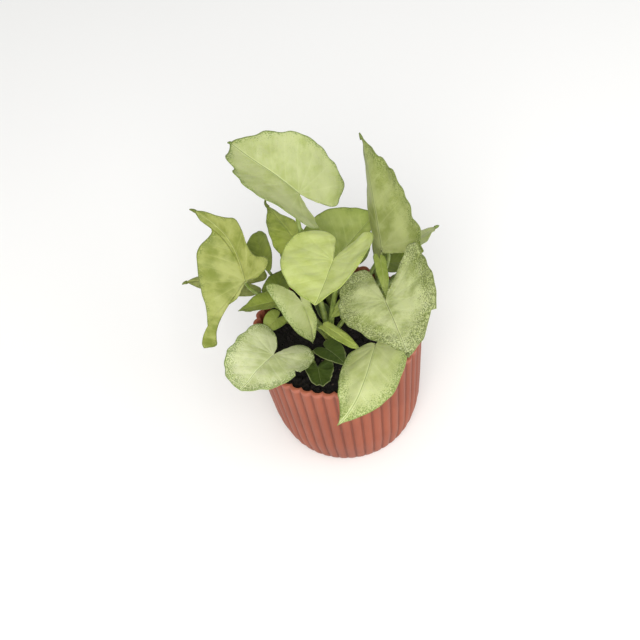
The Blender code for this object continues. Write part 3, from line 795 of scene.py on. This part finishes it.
def cut_drain_holes(pot):
    cutters = []
    for i in range(DRAIN_HOLE_COUNT):
        turn = math.tau * i / DRAIN_HOLE_COUNT
        middle = Vector((math.cos(turn), math.sin(turn), 0.0)) * DRAIN_HOLE_CIRCLE * MM
        bpy.ops.mesh.primitive_cylinder_add(
            vertices=DRAIN_HOLE_SIDES, radius=DRAIN_HOLE_RADIUS * MM, depth=8.0 * MM, location=middle,
        )
        cutter = bpy.context.object
        cutters.append(cutter)
        cut = pot.modifiers.new("drain", "BOOLEAN")
        cut.operation = "DIFFERENCE"
        cut.object = cutter
        cut.solver = "EXACT"
    graph = bpy.context.evaluated_depsgraph_get()
    mesh = bpy.data.meshes.new_from_object(pot.evaluated_get(graph))
    pot.modifiers.clear()
    pot.data = mesh
    for cutter in cutters:
        bpy.data.objects.remove(cutter, do_unlink=True)


def soil_height(x, y):
    """The soil's uneven top, a little higher in the middle."""
    mound = 1.0 - (math.hypot(x, y) / RIM_RADIUS) ** 2
    bumps = math.sin(0.9 * x + 0.4) * math.cos(0.7 * y) + 0.6 * math.sin(0.5 * y - 1.1 * x + 2.0)
    return SOIL_TOP + 0.8 * mound + 0.4 * bumps


def soil_lumps(x, y):
    lumps = noise.fractal(Vector((0.45 * x, 0.45 * y, 0.0)), 0.9, 2.1, 4)
    pits = noise.noise(Vector((1.3 * x, 1.3 * y, 5.0)))
    return 0.75 * lumps + 0.45 * pits


def make_soil():
    """A plug with a crumbly top."""
    count = SOIL_POINTS_ROUND
    turns = math.tau * np.arange(count) / count
    rows = []
    for radius in np.linspace(0.25, SOIL_RADIUS, SOIL_RING_COUNT):
        row = []
        fade = min(1.0, (SOIL_RADIUS - radius) / 1.5 + 0.4)
        for turn in turns:
            x, y = radius * math.cos(turn), radius * math.sin(turn)
            row.append((x, y, soil_height(x, y) + soil_lumps(x, y) * fade))
        rows.append(np.array(row))
    for radius, height in SOIL_SIDE:
        rows.append(level_ring(radius, turns, height))
    points = np.vstack([*rows, [[0.0, 0.0, soil_height(0.0, 0.0)]], [[0.0, 0.0, SOIL_SIDE[-1][1]]]])
    faces = grid_faces(len(rows), count, True, flip=True)
    top, low = len(points) - 2, len(points) - 1
    last = (len(rows) - 1) * count
    for i in range(count):
        faces.append((top, i, (i + 1) % count))
        faces.append((low, last + (i + 1) % count, last + i))
    return mesh_object("soil_bed", points, faces)


def lump_mesh(centre, size, squash, seed):
    """An uneven closed crumb."""
    ball_points, ball_faces = CRUMB_BALL
    out = []
    for point in ball_points:
        swell = 1.0 + 0.45 * noise.noise(Vector(point) * 1.4 + Vector((seed, 2.0 * seed, 0.0)))
        out.append(np.array(point) * size * swell * np.array(squash))
    axis = Vector((math.sin(seed), math.cos(seed), 0.4)).normalized()
    turn = np.array(Matrix.Rotation(seed * 2.3, 3, axis))
    return np.array(out) @ turn.T + centre, ball_faces


def ball(subdivisions):
    """A round ball's points and faces."""
    shape = bmesh.new()
    bmesh.ops.create_icosphere(shape, subdivisions=subdivisions, radius=1.0)
    points = [tuple(vert.co) for vert in shape.verts]
    faces = [tuple(vert.index for vert in face.verts) for face in shape.faces]
    shape.free()
    return points, faces


CRUMB_BALL = ball(2)


def make_crumbs(name, number, smallest, largest, flat=1.0):
    """Loose crumbs scattered over the soil."""
    points, faces = [], []
    start = 0
    for _ in range(number):
        radius = (SOIL_RADIUS - 1.0) * math.sqrt(random.random())
        turn = random.random() * math.tau
        x, y = radius * math.cos(turn), radius * math.sin(turn)
        size = smallest + (largest - smallest) * random.random() ** 2
        centre = np.array((x, y, soil_height(x, y) + soil_lumps(x, y) + 0.25 * size))
        squash = (1.0, 0.6 + 0.4 * random.random(), flat * (0.6 + 0.4 * random.random()))
        more, more_faces = lump_mesh(centre, size, squash, random.random() * 50.0)
        points.append(more)
        faces.extend([tuple(start + i for i in face) for face in more_faces])
        start += len(more)
    return mesh_object(name, np.vstack(points), faces)


# Materials. Noise and cell scales are per metre, and distances are metres here.

# depth of the rim's painted highlight band below the top
RIM_BAND = 0.0025
CLOUD_SCALE = 110.0
MARGIN_SCALE = 240.0
GRAIN_SCALE = 420.0
DARK_SPECK_SCALE = 1900.0
PALE_SPECK_SCALE = 1500.0
LEAF_RELIEF_SCALE = 700.0
LEAF_GLOW = {"Subsurface_Radius": (0.8, 1.0, 0.25), "Subsurface_Scale": 0.001}


class Nodes:
    """Short names for wiring a material."""

    def __init__(self, name):
        self.material = bpy.data.materials.new(name)
        self.material.use_nodes = True
        self.tree = self.material.node_tree
        self.shader = self.tree.nodes["Principled BSDF"]

    def put(self, socket, value):
        if isinstance(value, bpy.types.NodeSocket):
            self.tree.links.new(value, socket)
        elif isinstance(value, tuple) and len(value) == 3 and socket.type == "RGBA":
            socket.default_value = (*value, 1.0)
        else:
            socket.default_value = value

    def math(self, operation, *values):
        node = self.tree.nodes.new("ShaderNodeMath")
        node.operation = operation
        for socket, value in zip(node.inputs, values):
            self.put(socket, value)
        return node.outputs[0]

    def plus(self, first, second):
        return self.math("ADD", first, second)

    def minus(self, first, second):
        return self.math("SUBTRACT", first, second)

    def times(self, first, second):
        return self.math("MULTIPLY", first, second)

    def step(self, value, low, high):
        """A smooth step from 0 at low to 1 at high."""
        node = self.tree.nodes.new("ShaderNodeMapRange")
        node.interpolation_type = "SMOOTHSTEP"
        for key, entry in (("Value", value), ("From Min", low), ("From Max", high)):
            self.put(node.inputs[key], entry)
        return node.outputs[0]

    def mix(self, share, first, second):
        node = self.tree.nodes.new("ShaderNodeMix")
        node.data_type = "RGBA"
        self.put(node.inputs[0], share)
        self.put(node.inputs[6], first)
        self.put(node.inputs[7], second)
        return node.outputs[2]

    def place(self):
        return self.tree.nodes.new("ShaderNodeTexCoord").outputs["Object"]

    def noise(self, vector, scale, detail=3.0, roughness=0.5):
        node = self.tree.nodes.new("ShaderNodeTexNoise")
        self.put(node.inputs["Vector"], vector)
        node.inputs["Scale"].default_value = scale
        node.inputs["Detail"].default_value = detail
        node.inputs["Roughness"].default_value = roughness
        return node.outputs[0]

    def cells(self, vector, scale, feature="F1"):
        node = self.tree.nodes.new("ShaderNodeTexVoronoi")
        node.feature = feature
        self.put(node.inputs["Vector"], vector)
        node.inputs["Scale"].default_value = scale
        return node.outputs["Distance"]

    def attribute(self, name, output="Fac"):
        node = self.tree.nodes.new("ShaderNodeAttribute")
        node.attribute_name = name
        return node.outputs[output]

    def join(self, *parts):
        node = self.tree.nodes.new("ShaderNodeCombineXYZ")
        for socket, part in zip(node.inputs, parts):
            self.put(socket, part)
        return node.outputs[0]

    def split(self, vector):
        node = self.tree.nodes.new("ShaderNodeSeparateXYZ")
        self.put(node.inputs[0], vector)
        return node.outputs[0], node.outputs[1], node.outputs[2]

    def bump(self, height, distance, strength=1.0, after=None):
        node = self.tree.nodes.new("ShaderNodeBump")
        node.inputs["Distance"].default_value = distance
        node.inputs["Strength"].default_value = strength
        self.put(node.inputs["Height"], height)
        if after:
            self.put(node.inputs["Normal"], after)
        return node.outputs[0]

    def set(self, **values):
        for key, value in values.items():
            self.put(self.shader.inputs[key.replace("_", " ")], value)


def vein_lines(nodes, x, y):
    """How far a place is from the nearest side vein, as in vein_distance, and its rank along them."""
    bend = nodes.times(nodes.times(y, y), VEIN_BEND)
    side = nodes.plus(nodes.minus(x, nodes.times(y, VEIN_LEAN)), bend)
    part = nodes.math("FRACT", nodes.plus(nodes.math("DIVIDE", side, VEIN_SPACING), 20.5))
    off_middle = nodes.math("ABSOLUTE", nodes.minus(part, 0.5))
    beside = nodes.times(off_middle, VEIN_SPACING * VEIN_SLOPE)
    turn = nodes.minus(nodes.math("ARCTAN2", y, x), FAN_START)
    part = nodes.math("FRACT", nodes.plus(nodes.math("DIVIDE", turn, FAN_STEP), 20.5))
    angle = nodes.times(nodes.math("ABSOLUTE", nodes.minus(part, 0.5)), FAN_STEP)
    square = nodes.plus(nodes.times(x, x), nodes.times(y, y))
    reach = nodes.math("SQRT", square)
    fanned = nodes.times(reach, nodes.math("SINE", angle))
    ahead = nodes.math("GREATER_THAN", side, 0.0)
    lines = nodes.plus(nodes.times(beside, ahead), nodes.times(fanned, nodes.minus(1.0, ahead)))
    return lines, side


def leaf_material(name, tone, speckle, margin):
    face, second, green = TONES[tone]
    pale = tuple(1.12 * part + 0.03 for part in face)
    edging = tuple(0.5 * (a + b) for a, b in zip(second, green))
    below = tuple(0.8 * part + 0.05 for part in second)
    nodes = Nodes(name)
    spot = nodes.place()
    x, across, ring = nodes.split(nodes.attribute("plan", "Vector"))
    y = nodes.math("ABSOLUTE", across)
    lines, side = vein_lines(nodes, x, y)
    # blotches drawn out along the side veins, and broad clouds
    drawn = nodes.join(nodes.times(side, 14.0), nodes.times(across, 7.0), 0.0)
    feather = nodes.noise(drawn, 1.0, 5.0, 0.6)
    clouds = nodes.noise(spot, CLOUD_SCALE, 5.0, 0.6)
    drift = nodes.times(clouds, 0.75)
    blotch = nodes.step(nodes.plus(nodes.times(feather, 0.25), drift), 0.4, 0.64)
    colour = nodes.mix(blotch, face, second)
    near_vein = nodes.minus(1.0, nodes.step(lines, 0.0, 0.035))
    inside = nodes.minus(1.0, nodes.step(ring, 0.75, 0.97))
    glow = nodes.times(near_vein, inside)
    colour = nodes.mix(nodes.times(glow, 0.14), colour, pale)
    # a greener margin with a wandering inner edge
    wander = nodes.noise(spot, MARGIN_SCALE, 4.0, 0.6)
    edge = nodes.plus(ring, nodes.times(nodes.minus(wander, 0.5), 0.45))
    border = nodes.step(edge, 1.0 - margin, 1.06)
    colour = nodes.mix(nodes.times(border, 0.45), colour, edging)
    # fine specks, green and pale, crowding towards the edge
    grain = nodes.noise(spot, GRAIN_SCALE, 3.0, 0.7)
    scatter = nodes.times(grain, nodes.times(nodes.step(ring, 0.1, 1.1), speckle))
    crowding = nodes.plus(nodes.times(border, 0.42), scatter)
    reach = nodes.math("MINIMUM", crowding, 0.46)
    dark_cells = nodes.cells(spot, DARK_SPECK_SCALE)
    pale_cells = nodes.cells(spot, PALE_SPECK_SCALE)
    dark_specks = nodes.step(nodes.minus(reach, dark_cells), -0.12, 0.06)
    pale_specks = nodes.step(nodes.minus(reach, pale_cells), -0.1, 0.05)
    colour = nodes.mix(nodes.times(pale_specks, 0.5), colour, pale)
    colour = nodes.mix(nodes.times(dark_specks, 0.68), colour, green)
    # thin lines: the side veins, the midrib and the leaf's outline, and a painted shade line down the
    # midrib's crease
    vein = nodes.times(nodes.minus(1.0, nodes.step(lines, 0.002, 0.009)), inside)
    front = nodes.math("GREATER_THAN", x, 0.0)
    spine = nodes.times(nodes.minus(1.0, nodes.step(y, 0.009, 0.02)), front)
    colour = nodes.mix(nodes.times(vein, 0.2), colour, pale)
    colour = nodes.mix(nodes.times(spine, 0.7), colour, pale)
    # painted shade: a thin dark line down the crease at the midrib
    crease = nodes.times(nodes.minus(1.0, nodes.step(y, 0.001, 0.009)), front)
    colour = nodes.mix(nodes.times(crease, 0.7), colour, green)
    colour = nodes.mix(nodes.times(nodes.step(ring, 0.97, 0.998), 0.6), colour, green)
    colour = nodes.mix(nodes.times(nodes.attribute("under"), 0.7), colour, below)
    net = nodes.cells(spot, LEAF_RELIEF_SCALE, "DISTANCE_TO_EDGE")
    relief = nodes.bump(net, 0.00005, 0.25)
    relief = nodes.bump(nodes.noise(spot, LEAF_RELIEF_SCALE, 4.0, 0.6), 0.0001, 0.45, relief)
    nodes.set(
        Base_Color=colour,
        Roughness=nodes.plus(0.42, nodes.times(grain, 0.18)),
        Normal=relief, Specular_IOR_Level=0.3, Subsurface_Weight=0.2, **LEAF_GLOW,
    )
    return nodes.material


def stem_material():
    nodes = Nodes("stem_green")
    spot = nodes.place()
    height = nodes.split(spot)[2]
    # painted shade: the stems darker low down, where the leaves shade them
    rise = nodes.step(height, 0.05, 0.09)
    tone = nodes.mix(rise, STEM_FOOT_TONE, STEM_TONE)
    # pale streaks: partly striations, which also make the bump, partly painted highlights
    streaks = nodes.noise(spot, 520.0, 4.0, 0.65)
    tone = nodes.mix(nodes.step(streaks, 0.35, 0.75), tone, STEM_STREAK_TONE)
    blush = nodes.step(nodes.noise(spot, 150.0, 2.0), 0.55, 0.8)
    tone = nodes.mix(nodes.times(blush, 0.35), tone, STEM_BLUSH_TONE)
    nodes.set(
        Base_Color=tone, Roughness=0.42, Normal=nodes.bump(streaks, 0.0001, 0.5),
        Subsurface_Weight=0.15, **LEAF_GLOW,
    )
    return nodes.material


def pot_material():
    nodes = Nodes("terracotta_plastic")
    spot = nodes.place()
    clouds = nodes.step(nodes.noise(spot, 40.0, 3.0, 0.55), 0.35, 0.7)
    tone = nodes.mix(clouds, *POT_TONES)
    dust = nodes.step(nodes.noise(spot, 700.0, 5.0, 0.7), 0.58, 0.8)
    tone = nodes.mix(nodes.times(dust, 0.25), tone, POT_DUST_TONE)
    # painted shade along the grooves, and a painted highlight on the rim's top band
    x, y, height = nodes.split(spot)
    turn = nodes.minus(nodes.math("ARCTAN2", y, x), RIB_TURN)
    across = nodes.math("FRACT", nodes.times(turn, RIB_COUNT / math.tau))
    off_crest = nodes.math("ABSOLUTE", nodes.minus(across, 0.5))
    groove = nodes.step(off_crest, 0.3, 0.5)
    tone = nodes.mix(nodes.times(groove, 0.55), tone, POT_GROOVE_TONE)
    # painted highlight: the top band of the rim lighter, as if lit from above
    rim = nodes.step(height, POT_HEIGHT * MM - RIM_BAND, POT_HEIGHT * MM - 0.32 * RIM_BAND)
    tone = nodes.mix(nodes.times(rim, 0.6), tone, POT_RIM_TONE)
    grain = nodes.noise(spot, 1800.0, 2.0, 0.5)
    nodes.set(
        Base_Color=tone, Roughness=nodes.plus(0.48, nodes.times(dust, 0.2)),
        Normal=nodes.bump(grain, 0.00006, 0.35), Specular_IOR_Level=0.35,
    )
    return nodes.material


def soil_material(name, dark, light, amount):
    nodes = Nodes(name)
    spot = nodes.place()
    flecks = nodes.step(nodes.noise(spot, 420.0, 5.0, 0.7), 0.5, 0.75)
    tone = nodes.mix(nodes.times(flecks, amount), dark, light)
    height = nodes.noise(spot, 900.0, 6.0, 0.75)
    crumble = nodes.bump(height, 0.0006, 0.8)
    nodes.set(Base_Color=tone, Roughness=0.93, Normal=crumble, Specular_IOR_Level=0.25)
    return nodes.material


def floor_material():
    nodes = Nodes("pale_floor")
    tone = nodes.mix(nodes.noise(nodes.place(), 3.0, 2.0), *FLOOR_TONES)
    nodes.set(Base_Color=tone, Roughness=0.8, Specular_IOR_Level=0.1)
    return nodes.material


# Stage


def make_stage():
    bpy.ops.mesh.primitive_plane_add(size=FLOOR_SIZE, location=(0.0, 0.0, -0.0002))
    floor = bpy.context.object
    floor.name = "floor"
    floor.data.materials.append(floor_material())
    floor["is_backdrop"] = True


def make_camera():
    eye, aim = Vector(CAMERA_PLACE), Vector(CAMERA_AIM)
    data = bpy.data.cameras.new("camera")
    data.lens = CAMERA_LENS
    data.sensor_width = SENSOR_WIDTH
    data.clip_start = 0.01
    camera = bpy.data.objects.new("camera", data)
    bpy.context.scene.collection.objects.link(camera)
    toward = (aim - eye).normalized()
    right = toward.cross(Vector((0.0, 0.0, 1.0))).normalized()
    up = right.cross(toward)
    across = math.cos(CAMERA_ROLL) * right + math.sin(CAMERA_ROLL) * up
    over = -math.sin(CAMERA_ROLL) * right + math.cos(CAMERA_ROLL) * up
    turn = Matrix((across, over, -toward)).transposed()
    camera.matrix_world = Matrix.Translation(eye) @ turn.to_4x4()
    bpy.context.scene.camera = camera


def make_light(name, place, size, power, colour):
    data = bpy.data.lights.new(name, "AREA")
    data.size = size
    data.energy = power
    data.color = colour
    light = bpy.data.objects.new(name, data)
    bpy.context.scene.collection.objects.link(light)
    light.location = place
    light.rotation_euler = (Vector(PLANT_MIDDLE) - Vector(place)).to_track_quat("-Z", "Y").to_euler()


def make_lights():
    make_light("key", KEY_PLACE, KEY_SIZE, KEY_POWER, (1.0, 0.985, 0.96))
    make_light("fill", FILL_PLACE, FILL_SIZE, FILL_POWER, (0.96, 0.98, 1.0))
    world = bpy.data.worlds.new("studio")
    world.use_nodes = True
    sky = world.node_tree.nodes["Background"]
    sky.inputs["Color"].default_value = (1.0, 1.0, 1.0, 1.0)
    sky.inputs["Strength"].default_value = SKY_STRENGTH
    bpy.context.scene.world = world
    bpy.context.scene.view_settings.view_transform = "Standard"


def build():
    place_piece(make_pot(), "pot", "pot", pot_material())
    soil_dark = soil_material("soil_dark", (0.008, 0.007, 0.006), (0.035, 0.028, 0.024), 0.6)
    soil_lumpy = soil_material("soil_lumps", (0.010, 0.008, 0.007), (0.05, 0.04, 0.033), 0.5)
    soil_bark = soil_material("soil_bark", (0.06, 0.04, 0.028), (0.20, 0.17, 0.14), 0.8)
    place_piece(make_soil(), "soil", "soil", soil_dark)
    crumbs = make_crumbs("soil_crumbs", CRUMB_COUNT, *CRUMB_SIZES)
    place_piece(crumbs, "soil", "soil", soil_lumpy)
    chips = make_crumbs("soil_chips", CHIP_COUNT, *CHIP_SIZES, flat=CHIP_FLATNESS)
    place_piece(chips, "soil", "soil", soil_bark)
    stem = stem_material()
    for name, crown in CROWNS.items():
        own = [sizes for sizes in LEAVES.values() if sizes["shoot"] == name]
        place_piece(make_shoot(name, crown, own), f"{name}_stems", "stem", stem)
    for name, sizes in LEAVES.items():
        tone, speckle, margin, ruffle = FACES[name]
        material = leaf_material(f"{name}_face", tone, speckle, margin)
        blade = make_blade(name, sizes, ruffle, TIPS.get(name))
        place_piece(blade, name, f"leaf_{sizes['colour']}", material)


build()
make_stage()
make_camera()
make_lights()

visual_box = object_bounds()
